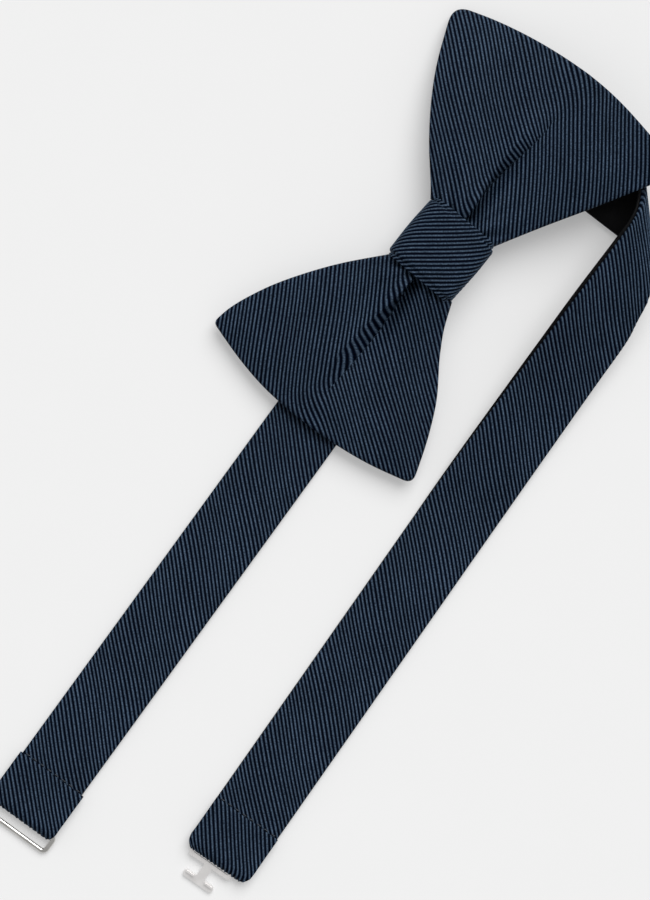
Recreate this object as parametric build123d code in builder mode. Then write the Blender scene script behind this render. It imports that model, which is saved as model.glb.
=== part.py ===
from build123d import *

import os
from math import asin, cos, degrees, pi, radians, sin, tan

# A pre-tied butterfly bow tie lying face up on a flat surface. Millimetres, +Z up.
# The origin is the centre of the knot's flat back. +X runs along the bow, from the
# ring end's side to the wing that lies over the rolled loop of the neck band.

# ---------------------------------------------------------------- driving dimensions
band_width = 20.0
face_thickness = 0.5
interlining_thickness = 1.0
lining_thickness = 0.5
band_thickness = face_thickness + interlining_thickness + lining_thickness
ply_gap = 0.02  # air between two plies, so that no solids overlap

knot_length = 20.5  # along X
knot_width = 22.6  # along Y
knot_height = 15.5
knot_crown_radius = 6.0
knot_back_radius = 2.0
wrap_thickness = 0.8
knot_interlining_thickness = 1.0
seam_y = 4.5  # where the wrap is sewn shut, on its back
thread_diameter = 0.35

waist_width = 13.0
waist_bottom, waist_top = 4.2, 12.8
wing_thickness = 5.0
wing_rise = tan(radians(13.2))  # the right wing leans on the rolled loop
end_droop = 0.27  # slope of the right wing's far +Y half, down towards the table
slight_droop = 0.005  # of the rest of the bow
left_end_bottom, left_end_thickness = 2.6, 4.0  # the left wing's end lies lower
half_bow_width = 45.0  # past the bow's widest place, from the middle
pinch_length = 20.0  # over which the bow thins from the waist to the wing

band_angle = 4.0  # heading of the band through the knot, from +X
band_offset = 1.9  # where its centre line crosses the Y axis
knot_passage_width = 18.6  # the band is gathered a little inside the knot
knot_passage_offset = 0.3  # and runs nearer its middle there
knot_passage_height = 2.1  # height of its middle there, above the wrap's back

left_hinge_x = -66.0  # the band bends here, just past the left wing
right_hinge_x = -58.0  # and here, where the returning run has come down
flex_gap = 1.2  # on each side of a bend, so that the plies turn clear

crossing_angle = -87.6  # heading of the short run under the right wing
crossing_point = (44.2, -29.0)
return_angle = 185.0  # heading of the long run back to the hook
return_offset = -45.8  # where its centre line crosses the Y axis
tight_roll_radius = 2.0  # where the band turns down under the right wing
loose_roll_radius = 7.5  # where it turns up and over
roll_facets = 12

ring_end_x = -192.8  # where the cloth ends, at the ring
hook_end_x = -167.9  # and at the hook
turnover_length = 15.5
turnover_thickness = 1.0
shoulder_from, shoulder_to = 7.5, 5.5  # where the cloth narrows, from its end
ring_end_width, ring_root_width = 18.4, 21.2
hook_end_width = 16.4

ring_width, ring_height, ring_wire = 23.0, 6.6, 1.4
ring_corner_radius = 2.0
hook_frame_width, hook_bar, hook_thickness = 13.6, 1.2, 0.9
hook_slot_height = 1.5
hook_neck_width, hook_neck_length = 2.5, 3.8
hook_cross_width, hook_cross_height = 9.5, 2.0
hook_lip, hook_lip_height = 0.5, 0.45  # the turned-up inner edge of each arm
hook_edge_radius = 0.15
hook_shift = -1.2  # the hook sits a little off the band's middle
pin_clearance = 0.1

os.makedirs("parts", exist_ok=True)


def save(part, label):
    """Labels a finished piece and writes its STEP file."""
    part.label = label
    export_step(part, f"parts/{label}.step")


def heading(degrees):
    return Vector(cos(radians(degrees)), sin(radians(degrees)), 0)


def across(degrees):
    """The horizontal direction to the left of a heading."""
    return heading(degrees + 90)


up = Vector(0, 0, 1)


# ---------------------------------------------------------------- strips of band
# A strip is lofted through straight rulings. A station is one ruling: its middle, its
# direction towards the strip's left edge, the direction its face looks, and its length.
def square_station(x, offset, degrees, height, width=band_width):
    """A ruling square to a run whose centre line crosses the Y axis at offset."""
    centre = Vector(x, offset + x * tan(radians(degrees)), height)
    return centre, across(degrees), up, width


def roll_stations(flat_fold, heading_in, fold_degrees, radius, start_height, turn):
    """Rulings round a half-turn roll. turn is -1 where the strip goes down under itself
    with its face outward, and 1 where it comes up and over."""
    axis = heading(fold_degrees)
    outward = across(fold_degrees)
    if outward.dot(heading_in) < 0:
        outward = -outward
    if axis.dot(across_of(heading_in)) * turn > 0:
        axis = -axis
    lead = heading_in.dot(axis) / heading_in.dot(outward)
    length = band_width / heading_in.dot(outward)
    stations = []
    for step in range(roll_facets + 1):
        angle = pi * step / roll_facets
        past_fold = radius * (angle - pi / 2)
        centre = (
            flat_fold
            + outward * (radius * sin(angle) - radius * pi / 2)
            + axis * (past_fold * lead)
            + up * (start_height + turn * radius * (1 - cos(angle)))
        )
        face = outward * sin(angle) - up * (turn * cos(angle))
        stations.append((centre, axis, face, length))
    return stations


def across_of(direction):
    return Vector(-direction.Y, direction.X, 0)


def strip(stations, low, high):
    """One ply of the strip, from low to high measured from its middle along its face."""
    with BuildPart() as ply:
        for centre, left, face, length in stations:
            middle = centre + face * ((low + high) / 2)
            with BuildSketch(Plane(origin=middle, x_dir=left, z_dir=left.cross(face))):
                Rectangle(length, high - low)
        loft(ruled=True)
    return ply.part


half_band = band_thickness / 2
plies = {
    "lining": (-half_band, -half_band + lining_thickness - ply_gap),
    "interlining": (-half_band + lining_thickness, half_band - face_thickness - ply_gap),
    "face": (half_band - face_thickness, half_band),
}


def on_upper_run(x, height):
    return square_station(x, band_offset, band_angle, height)


def in_knot(x):
    return square_station(
        x, knot_passage_offset, band_angle, knot_passage_height, knot_passage_width
    )


def on_return(x, height):
    return square_station(x, return_offset, return_angle, height)


# The middle of the band: from the left bend through the knot, down under itself in a
# tight roll, across under the wing, up and over in a loose roll, and down to the table.
crossing_heading = heading(crossing_angle)
knot_line_slope = tan(radians(band_angle))
return_slope = tan(radians(return_angle))
crossing_slope = crossing_heading.X / crossing_heading.Y


def crossing_meets(offset, slope):
    """Where the crossing run's centre line meets the line y = offset + slope x."""
    x0, y0 = crossing_point
    x = (x0 + crossing_slope * (offset - y0)) / (1 - crossing_slope * slope)
    return Vector(x, offset + slope * x, 0)


tight_fold = crossing_meets(band_offset, knot_line_slope)
loose_fold = crossing_meets(return_offset, return_slope)
upper_run_height = half_band + 2 * tight_roll_radius
loop_top = half_band + 2 * loose_roll_radius
knot_mouth_x = knot_length / 2 + 0.8
left_lift_x = -60.0  # the band leaves the table here to enter the knot
right_level_x = 22.0
descent_start_x = 14.0
descent_end_x = -52.0
descent_steps = 6

middle_stations = [
    on_upper_run(left_hinge_x + flex_gap, half_band),
    on_upper_run(left_lift_x, half_band),
    in_knot(-knot_mouth_x),
    in_knot(knot_mouth_x),
    on_upper_run(right_level_x, upper_run_height),
]
middle_stations += roll_stations(
    tight_fold,
    heading(band_angle),
    (band_angle + crossing_angle) / 2,
    tight_roll_radius,
    upper_run_height,
    -1,
)
loosening = (loose_roll_radius - tight_roll_radius) * pi / 4
crossing_middle = (tight_fold + loose_fold) / 2 - crossing_heading * loosening
middle_stations.append(
    (crossing_middle + up * half_band, -across(crossing_angle), -up, band_width)
)
middle_stations += roll_stations(
    loose_fold,
    crossing_heading,
    (crossing_angle + return_angle) / 2,
    loose_roll_radius,
    half_band,
    1,
)
for step in range(descent_steps + 1):
    share = step / descent_steps
    fall = (1 + cos(pi * share)) / 2
    middle_stations.append(
        on_return(
            descent_start_x + share * (descent_end_x - descent_start_x),
            half_band + fall * (loop_top - half_band),
        )
    )
middle_stations.append(on_return(right_hinge_x + flex_gap, half_band))

for ply_name, (low, high) in plies.items():
    save(strip(middle_stations, low, high), f"band_{ply_name}")

# ---------------------------------------------------------------- the two tails
bar_gap = 4.0  # the full band stops this far before the end, and the turnover goes on


def tail_plane(x, offset, degrees):
    """The table under the middle of a run, with its x direction towards the tail's end."""
    origin = Vector(x, offset + x * tan(radians(degrees)), 0)
    outwards = heading(180 + band_angle) if degrees == band_angle else heading(degrees)
    return Plane(origin=origin, x_dir=outwards, z_dir=up)


left_run = (band_offset, band_angle)
right_run = (return_offset, return_angle)
ring_plane = tail_plane(ring_end_x, *left_run)
hook_plane = tail_plane(hook_end_x, *right_run)

for tail, hinge_x, end_x, run in (
    ("left", left_hinge_x, ring_end_x, left_run),
    ("right", right_hinge_x, hook_end_x, right_run),
):
    tail_stations = [
        square_station(x, *run, half_band)
        for x in (hinge_x - flex_gap, end_x + bar_gap)
    ]
    for ply_name, (low, high) in plies.items():
        save(strip(tail_stations, low, high), f"{tail}_tail_{ply_name}")

# Each end is turned over a metal bar and sewn down on the face. The profile is drawn in
# the run's own upright plane: s is measured from the cloth's end, back along the run.
turn_inner_radius = ring_wire / 2 + pin_clearance
turn_outer_radius = turn_inner_radius + turnover_thickness
bar_height = turn_outer_radius
flap_underside = band_thickness + ply_gap
flap_lands_at = 8.0  # the flap leaves the bar and lies on the band from here back


def upright(plane):
    """The plane that stands on a run's centre line: x towards the end, y up."""
    return Plane(origin=plane.origin, x_dir=plane.x_dir, z_dir=plane.x_dir.cross(up))


def turnover(plane, end_width, root_width):
    """Cloth turned over a bar: narrow at the bar, then as wide as the tail."""
    bar_at = -turn_outer_radius
    with BuildPart() as piece:
        with BuildSketch(upright(plane)):
            with BuildLine():
                outer = ThreePointArc(
                    (bar_at, 0),
                    (0, bar_height),
                    (bar_at, bar_height + turn_outer_radius),
                )
                inner = ThreePointArc(
                    (bar_at, turnover_thickness),
                    (bar_at + turn_inner_radius, bar_height),
                    (bar_at, bar_height + turn_inner_radius),
                )
                Polyline(
                    outer @ 1,
                    (-flap_lands_at, flap_underside + turnover_thickness),
                    (-turnover_length, flap_underside + turnover_thickness),
                    (-turnover_length, flap_underside),
                    (-flap_lands_at, flap_underside),
                    inner @ 1,
                )
                Polyline(
                    inner @ 0,
                    (-bar_gap + ply_gap, turnover_thickness),
                    (-bar_gap + ply_gap, 0),
                    outer @ 0,
                )
            make_face()
        extrude(amount=band_width, both=True)
        with BuildSketch(plane):
            with BuildLine():
                Polyline(
                    (-turnover_length - 1, -root_width / 2),
                    (-shoulder_from, -root_width / 2),
                    (-shoulder_to, -end_width / 2),
                    (1, -end_width / 2),
                    (1, end_width / 2),
                    (-shoulder_to, end_width / 2),
                    (-shoulder_from, root_width / 2),
                    (-turnover_length - 1, root_width / 2),
                    close=True,
                )
            make_face()
        extrude(amount=knot_height, mode=Mode.INTERSECT)
    return piece.part


save(turnover(ring_plane, ring_end_width, ring_root_width), "ring_turnover")

# The hook's frame is narrower than the band, so the cloth is cut back beside its slot.
hook_slot_width = hook_frame_width - 2 * hook_bar
slot_play = 0.2  # between the cloth and each side of the slot
hook_centre_plane = Plane(
    origin=hook_plane.origin + hook_plane.y_dir * hook_shift,
    x_dir=hook_plane.x_dir,
    z_dir=up,
)
ear_depth = turn_outer_radius + hook_bar
ear_width = hook_frame_width / 2
with BuildPart() as hook_turnover:
    add(turnover(hook_plane, hook_end_width, band_width))
    for side in (-1, 1):
        with BuildSketch(hook_centre_plane):
            ear_at = side * (hook_slot_width / 2 - slot_play + ear_width / 2)
            with Locations((0, ear_at)):
                Rectangle(2 * ear_depth, ear_width)
        extrude(amount=knot_height, mode=Mode.SUBTRACT)
save(hook_turnover.part, "hook_turnover")

# A row of slip stitches holds the turned edge down on the band.
stitch_length = 1.1
stitch_pitch = 2.4
stitch_count = 8


def stitches(plane, name):
    base = Plane(
        origin=plane.origin + plane.x_dir * (-turnover_length - thread_diameter)
        + up * (band_thickness + thread_diameter / 2 + ply_gap),
        x_dir=plane.x_dir,
        z_dir=plane.y_dir,
    )
    with BuildPart() as row:
        for index in range(stitch_count):
            offset = (index - (stitch_count - 1) / 2) * stitch_pitch
            with BuildSketch(base.offset(offset - stitch_length / 2)):
                Circle(thread_diameter / 2)
            extrude(amount=stitch_length)
    save(row.part, name)


stitches(ring_plane, "ring_stitches")
stitches(hook_plane, "hook_stitches")

# ---------------------------------------------------------------- ring and hook
# Each lies in a plane through its bar, tipped until its far edge rests on the table.
ring_reach = ring_height - ring_wire
ring_droop = degrees(asin((bar_height - ring_wire / 2) / ring_reach))
slot_from = hook_bar / 2
frame_to = slot_from + hook_slot_height + hook_bar
cross_from = frame_to + hook_neck_length
hook_reach = cross_from + hook_cross_height
hook_droop = degrees(asin((bar_height - hook_thickness / 2) / hook_reach))


def tipped(plane, droop, shift=0.0):
    """A plane on the bar's axis: x away from the cloth and down, y along the bar."""
    origin = plane.origin - plane.x_dir * turn_outer_radius + up * bar_height
    out = plane.x_dir * cos(radians(droop)) - up * sin(radians(droop))
    return Plane(
        origin=origin + plane.y_dir * shift, x_dir=out, z_dir=out.cross(plane.y_dir)
    )


ring_frame = tipped(ring_plane, ring_droop)
with BuildSketch(ring_frame) as ring_middle:
    with Locations((ring_reach / 2, 0)):
        RectangleRounded(
            ring_reach, ring_width - ring_wire, ring_corner_radius - ring_wire / 2
        )
with BuildPart() as ring:
    with BuildLine():
        add(ring_middle.sketch.face().outer_wire())
    with BuildSketch(Plane(origin=ring_frame.origin, z_dir=ring_frame.y_dir)):
        Circle(ring_wire / 2)
    sweep()
save(ring.part, "ring")

hook_frame = tipped(hook_plane, hook_droop, hook_shift)
with BuildPart() as t_hook:
    with BuildSketch(hook_frame.offset(-hook_thickness / 2)):
        with Locations(((frame_to - hook_bar / 2) / 2, 0)):
            RectangleRounded(frame_to + hook_bar / 2, hook_frame_width, 1.0)
        with Locations((slot_from + hook_slot_height / 2, 0)):
            Rectangle(hook_slot_height, hook_slot_width, mode=Mode.SUBTRACT)
        with Locations((frame_to - 0.5 + (hook_neck_length + 1) / 2, 0)):
            Rectangle(hook_neck_length + 1, hook_neck_width)
        with Locations((cross_from + hook_cross_height / 2, 0)):
            RectangleRounded(hook_cross_height, hook_cross_width, 0.9)
    extrude(amount=hook_thickness)
    fillet(t_hook.faces().sort_by(Axis.Z)[-1].edges(), hook_edge_radius)
    arm_length = (hook_cross_width - hook_neck_width) / 2 - 2 * hook_lip
    arm_middle = hook_cross_width / 2 - hook_lip - arm_length / 2
    with BuildSketch(hook_frame.offset(hook_thickness / 2 - hook_lip)):
        with Locations((cross_from + hook_lip, -arm_middle), (cross_from + hook_lip, arm_middle)):
            RectangleRounded(hook_lip, arm_length, hook_lip * 0.45)
    extrude(amount=hook_lip + hook_lip_height)
save(t_hook.part, "t_hook")

# ---------------------------------------------------------------- the knot
knot_plane = Plane.YZ.offset(-knot_length / 2)


def knot_outline(inset):
    """The knot's section, drawn inset from its outer surface: flat back, crowned front."""
    with BuildSketch() as outline:
        with Locations((0, knot_height / 2)):
            Rectangle(knot_width - 2 * inset, knot_height - 2 * inset)
        corners = outline.vertices().group_by(Axis.Y)
        fillet(corners[-1], knot_crown_radius - inset)
        fillet(corners[0], knot_back_radius - inset)
    return outline.sketch


seam_depth, seam_width = 0.45, 1.6
with BuildPart() as knot_wrap:
    with BuildSketch(knot_plane):
        add(knot_outline(0))
        add(knot_outline(wrap_thickness), mode=Mode.SUBTRACT)
        with Locations((seam_y, seam_depth / 2)):
            Rectangle(seam_width, seam_depth, mode=Mode.SUBTRACT)
    extrude(amount=knot_length)
save(knot_wrap.part, "knot_wrap")

arch_foot = waist_bottom - 0.6
with BuildPart() as knot_interlining:
    with BuildSketch(knot_plane):
        add(knot_outline(wrap_thickness + ply_gap))
        add(
            knot_outline(wrap_thickness + knot_interlining_thickness),
            mode=Mode.SUBTRACT,
        )
        with Locations((0, arch_foot / 2)):
            Rectangle(2 * knot_width, arch_foot, mode=Mode.SUBTRACT)
    extrude(amount=knot_length)
save(knot_interlining.part, "knot_interlining")

tack_count = 7
with BuildPart() as knot_stitches:
    for index in range(tack_count):
        at = (index - (tack_count - 1) / 2) * stitch_pitch
        tack_plane = Plane(
            origin=(at, seam_y - seam_width / 2 + 0.1, seam_depth / 2), z_dir=(0, 1, 0)
        )
        with BuildSketch(tack_plane):
            Circle(thread_diameter / 2)
        extrude(amount=seam_width - 0.2)
save(knot_stitches.part, "knot_stitches")

# ---------------------------------------------------------------- the bow
left_top, left_bottom = (-52.6, 36.9), (-52.7, -34.8)
right_top, right_bottom = (54.4, 40.8), (60.0, -37.6)
left_end_x, right_end_x = -59.9, 62.3
wing_root_x = knot_length / 2 + 0.55
wing_corner_radius = 3.0


def bow_outline():
    """The bow from above: two flared wings with bowed ends, pinched at the waist."""
    half_waist = waist_width / 2
    with BuildSketch() as outline:
        with BuildLine():
            Polyline(
                (-wing_root_x, 11.5),
                (-wing_root_x + 0.3, half_waist),
                (wing_root_x - 0.3, half_waist),
                (wing_root_x, 12.6),
            )
            ThreePointArc((wing_root_x, 12.6), (29.7, 28.1), right_top)
            ThreePointArc(right_top, (right_end_x, 2), right_bottom)
            ThreePointArc(right_bottom, (34, -23.4), (wing_root_x, -10.9))
            Polyline(
                (wing_root_x, -10.9),
                (wing_root_x - 0.3, -half_waist),
                (-wing_root_x + 0.3, -half_waist),
                (-wing_root_x, -12.2),
            )
            ThreePointArc((-wing_root_x, -12.2), (-29.7, -23.8), left_bottom)
            ThreePointArc(left_bottom, (left_end_x, 0.8), left_top)
            ThreePointArc(left_top, (-29.7, 25.8), (-wing_root_x, 11.5))
        make_face()
        tips = outline.vertices().sort_by(Axis.X)
        fillet(ShapeList(tips[:2] + tips[-2:]), wing_corner_radius)
    return outline.sketch


def bow_ply(low_share, high_share):
    """One ply of the bow, between two shares of its thickness, bottom to top. Its +Y half
    droops towards the table where a station's last value says so."""
    waist_thickness = waist_top - waist_bottom
    thin_x = wing_root_x + pinch_length
    span = right_end_x + 1 - wing_root_x
    stations = [
        (left_end_x - 1, left_end_bottom, left_end_thickness, slight_droop),
        (-thin_x, waist_bottom, wing_thickness, slight_droop),
        (-wing_root_x, waist_bottom, waist_thickness, slight_droop),
        (wing_root_x, waist_bottom, waist_thickness, slight_droop),
        (
            thin_x,
            waist_bottom + pinch_length * wing_rise,
            wing_thickness,
            end_droop / 4,
        ),
        (right_end_x + 1, waist_bottom + span * wing_rise, wing_thickness, end_droop),
    ]
    with BuildPart() as ply:
        for x, bottom, thick, droop in stations:
            under = bottom + low_share * thick
            over = bottom + high_share * thick
            sunk = droop * half_bow_width
            with BuildSketch(Plane.YZ.offset(x)):
                with BuildLine():
                    Polyline(
                        (-half_bow_width, under),
                        (0, under),
                        (half_bow_width, under - sunk),
                        (half_bow_width, over - sunk),
                        (0, over),
                        (-half_bow_width, over),
                        close=True,
                    )
                make_face()
        loft(ruled=True)
        with BuildSketch(Plane.XY):
            add(bow_outline())
        extrude(amount=2 * knot_height, mode=Mode.INTERSECT)
    return ply.part


third = 1 / 3
save(bow_ply(0, third - 0.01), "bow_backing")
save(bow_ply(third, 2 * third - 0.01), "bow_interlining")
save(bow_ply(2 * third, 1), "bow_face")

# Thread wound round the pinched waist holds the pleats under the knot.
winding_count = 5
winding_pitch = 0.6
winding_gap = 0.08
with BuildPart() as waist_thread:
    for index in range(winding_count):
        at = (index - (winding_count - 1) / 2) * winding_pitch
        with BuildSketch(Plane.YZ.offset(at - thread_diameter / 2)):
            with Locations((0, (waist_bottom + waist_top) / 2)):
                tall = waist_top - waist_bottom + 2 * winding_gap
                wide = waist_width + 2 * winding_gap
                Rectangle(wide + 2 * thread_diameter, tall + 2 * thread_diameter)
                Rectangle(wide, tall, mode=Mode.SUBTRACT)
        extrude(amount=thread_diameter)
save(waist_thread.part, "waist_thread")
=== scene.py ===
import math

import bpy
import numpy as np
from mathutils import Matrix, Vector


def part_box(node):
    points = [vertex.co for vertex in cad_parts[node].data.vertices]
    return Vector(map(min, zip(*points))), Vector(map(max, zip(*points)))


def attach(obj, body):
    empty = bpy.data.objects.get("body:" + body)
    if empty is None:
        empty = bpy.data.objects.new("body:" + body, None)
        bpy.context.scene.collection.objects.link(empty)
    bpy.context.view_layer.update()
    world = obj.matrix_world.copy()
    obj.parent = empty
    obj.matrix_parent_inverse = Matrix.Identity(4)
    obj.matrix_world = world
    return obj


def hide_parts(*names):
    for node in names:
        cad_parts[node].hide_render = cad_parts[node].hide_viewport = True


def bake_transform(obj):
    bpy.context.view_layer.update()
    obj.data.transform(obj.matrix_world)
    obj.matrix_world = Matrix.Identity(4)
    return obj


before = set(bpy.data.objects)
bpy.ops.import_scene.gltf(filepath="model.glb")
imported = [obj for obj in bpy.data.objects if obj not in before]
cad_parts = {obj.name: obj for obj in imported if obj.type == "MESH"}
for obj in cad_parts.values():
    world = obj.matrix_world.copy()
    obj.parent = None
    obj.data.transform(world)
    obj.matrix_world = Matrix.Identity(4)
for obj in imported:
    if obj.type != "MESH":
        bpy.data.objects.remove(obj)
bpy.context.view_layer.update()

# A pre-tied bow tie in navy ribbed silk. Lengths are in millimetres, in the row frame,
# until mesh_piece() turns them into metres.
MM = 0.001

# ---------------------------------------------------------------- driving dimensions
RIB_PITCH = 1.07
RIB_HEIGHT = 0.19
SAMPLES_PER_RIB = 5
ROW_STEP = RIB_PITCH / SAMPLES_PER_RIB

BAND_WIDTH = 20.0
BAND_THICKNESS = 2.0
LINING_THICKNESS = 0.4
BAND_ANGLE, BAND_OFFSET = 4.0, 1.9
RETURN_ANGLE, RETURN_OFFSET = 185.0, -45.8
CROSSING_ANGLE, CROSSING_POINT = -87.6, (44.2, -29.0)
TIGHT_ROLL, LOOSE_ROLL = 2.0, 7.5
RING_END_X, HOOK_END_X = -192.8, -167.9
BAND_RIB_ANGLE = 45.5

knot_low, knot_high = (np.array(corner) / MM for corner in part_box("knot_wrap"))
KNOT_HALF_LENGTH = (knot_high[0] - knot_low[0]) / 2
KNOT_TOP = knot_high[2]
UP = np.array([0.0, 0.0, 1.0])


# ---------------------------------------------------------------- small geometry helpers
def heading(degrees):
    turn = math.radians(degrees)
    return np.array([math.cos(turn), math.sin(turn), 0.0])


def across(degrees):
    return heading(degrees + 90)


def unit(v):
    return v / np.maximum(np.linalg.norm(v, axis=-1, keepdims=True), 1e-9)


def smooth(low, high, x):
    """0 below low, 1 above high, and a smooth step between them."""
    t = np.clip((x - low) / (high - low), 0, 1)
    return t * t * (3 - 2 * t)


def hill(x, width):
    return np.exp(-((x / width) ** 2))


def catmull(keys, params, at):
    """Points at the given parameters on a smooth curve through keys."""
    keys, params = np.asarray(keys, float), np.asarray(params, float)
    slope = np.gradient(keys, params, axis=0)
    i = np.clip(np.searchsorted(params, at, side="right") - 1, 0, len(params) - 2)
    span = params[i + 1] - params[i]
    t = (at - params[i]) / span
    shape = (-1,) + (1,) * (keys.ndim - 1)
    t, span = t.reshape(shape), span.reshape(shape)
    return (
        (2 * t**3 - 3 * t**2 + 1) * keys[i]
        + (t**3 - 2 * t**2 + t) * span * slope[i]
        + (-2 * t**3 + 3 * t**2) * keys[i + 1]
        + (t**3 - t**2) * span * slope[i + 1]
    )


def wobble(u, v):
    """Hand-woven cords are never quite straight: a share of a pitch, slowly changing."""
    return 0.22 * np.sin(0.13 * u + 0.09 * v + 1.0) + 0.16 * np.sin(0.23 * u - 0.31 * v + 2.0)


# ---------------------------------------------------------------- meshes
TABLE_GAP = 0.02  # cloth that lies on the table is pressed flat just above it


def mesh_piece(name, points, faces, uv, material):
    """A smooth mesh in metres. uv is (along the rib in mm, ribs across) at each point."""
    mesh = bpy.data.meshes.new(name)
    points = np.array(points, float)
    points[:, 2] = np.maximum(points[:, 2], TABLE_GAP)
    mesh.from_pydata((points * MM).tolist(), [], faces)
    layer = mesh.uv_layers.new(name="cloth")
    corner = np.empty(len(mesh.loops), int)
    mesh.loops.foreach_get("vertex_index", corner)
    layer.data.foreach_set("uv", np.asarray(uv, float)[corner].ravel())
    mesh.polygons.foreach_set("use_smooth", [True] * len(mesh.polygons))
    mesh.materials.append(material)
    piece = bpy.data.objects.new(name, mesh)
    bpy.context.scene.collection.objects.link(piece)
    return piece


def loops_mesh(name, loops, uv, material, closed=False):
    """A skin over a row of closed loops, (rows, around, 3), with a cap at each end, or
    closed on itself. Faces that have collapsed to nothing are left out."""
    rows, around = loops.shape[:2]
    points = loops.reshape(-1, 3)
    keys = np.round(points, 4)
    _, first, same = np.unique(keys, axis=0, return_index=True, return_inverse=True)
    same = first[np.asarray(same).ravel()]
    index = same.reshape(rows, around)
    faces = []
    ahead = np.roll(index, -1, axis=0)
    last = rows if closed else rows - 1
    for i in range(last):
        a, b = index[i], ahead[i]
        a2, b2 = np.roll(a, -1), np.roll(b, -1)
        for quad in np.stack([a, a2, b2, b], axis=1).tolist():
            face = [p for k, p in enumerate(quad) if p != quad[k - 1]]
            if len(set(face)) > 2 and len(set(face)) == len(face):
                faces.append(face)
    if not closed:
        for loop, turn in ((index[0], -1), (index[-1], 1)):
            cap = [p for k, p in enumerate(loop.tolist()) if p != loop[k - 1]]
            if len(set(cap)) > 2 and len(set(cap)) == len(cap):
                faces.append(cap[::turn])
    used = np.unique([p for face in faces for p in face])
    renumber = np.full(len(points), -1)
    renumber[used] = np.arange(len(used))
    faces = [[int(renumber[p]) for p in face] for face in faces]
    return mesh_piece(
        name, points[used], faces, uv.reshape(-1, 2)[used], material
    )


def strip_piece(
    name, rulings, profile, material, rib_angle=BAND_RIB_ANGLE, step=ROW_STEP,
    rib_height=RIB_HEIGHT, closed=False, pitch=RIB_PITCH, relief=None, fan=None,
):
    """Cloth along a strip. rulings is (stations, 2, 3): each station's left and right
    end. profile lists (across, off, rib share) round the section, where across runs from
    -1 at the right edge to 1 at the left, and off is the height along the face."""
    left, right = rulings[:, 0], rulings[:, 1]
    middle = (left + right) / 2
    if closed:
        ahead = np.roll(middle[:-1], -1, axis=0) - np.roll(middle[:-1], 1, axis=0)
        ahead = np.concatenate([ahead, ahead[:1]])
    else:
        ahead = np.gradient(middle, axis=0)
    normal = unit(np.cross(ahead, left - right))
    shear = 1 / math.tan(math.radians(rib_angle))
    run = np.concatenate([[0], np.cumsum(np.linalg.norm(np.diff(middle, axis=0), axis=1))])
    slant = ((left - right) * unit(ahead)).sum(axis=1) / 2
    half = np.median(np.linalg.norm(left - right - 2 * slant[:, None] * unit(ahead), axis=1)) / 2
    columns = [(middle + (left - right) / 2 * p, run + slant * p) for p, _, _ in profile]
    reach = 0 if closed else half * abs(shear) * 1.1
    count = int((run[-1] + 2 * reach) / step) + 2
    base = np.linspace(-reach, run[-1] + reach, count)
    if closed:
        base = base[:-1]
    sine, cosine = math.sin(math.radians(rib_angle)), math.cos(math.radians(rib_angle))
    loops = np.empty((len(base), len(profile), 3))
    uv = np.empty((len(base), len(profile), 2))
    for j, ((place, off, share), (line, length)) in enumerate(zip(profile, columns)):
        b = place * half
        at = base + shear * b
        at = at % length[-1] if closed else np.clip(at, length[0], length[-1])
        where = [np.interp(at, length, line[:, k]) for k in range(3)]
        facing = unit(
            np.stack([np.interp(at, length, normal[:, k]) for k in range(3)], axis=1)
        )
        ribs = (at * sine - b * cosine) / pitch
        ribs = ribs + (fan(at, b) if fan else wobble(at, b))
        lift = off + share * rib_height * np.cos(2 * math.pi * ribs)
        if relief is not None:
            lift = lift + share * relief(at, b)
        loops[:, j] = np.stack(where, axis=1) + facing * lift[:, None]
        uv[:, j] = np.stack([at * cosine + b * sine, ribs], axis=1)
    return loops_mesh(name, loops, uv, material, closed)


EDGE_CELLS = 4


def slab(half, top, bottom, cells):
    """The section of a flat cloth tube with round edges, as a profile. Its cords show on
    the top and fade out round the edges."""
    radius = (top - bottom) / 2
    level = (top + bottom) / 2
    flat = 1 - radius / half
    edge_turns = [math.pi * k / EDGE_CELLS for k in range(1, EDGE_CELLS)]

    def edge(side, turn):
        place = side * (flat + math.sin(turn) * radius / half)
        return place, level + radius * math.cos(turn), max(math.cos(turn), 0.0)

    section = [(p, top, 1.0) for p in np.linspace(-flat, flat, cells + 1)]
    section += [edge(1, turn) for turn in edge_turns]
    section += [(p, bottom, 0.0) for p in np.linspace(flat, -flat, cells // 2 + 1)]
    section += [edge(-1, turn) for turn in reversed(edge_turns)]
    return section


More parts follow.
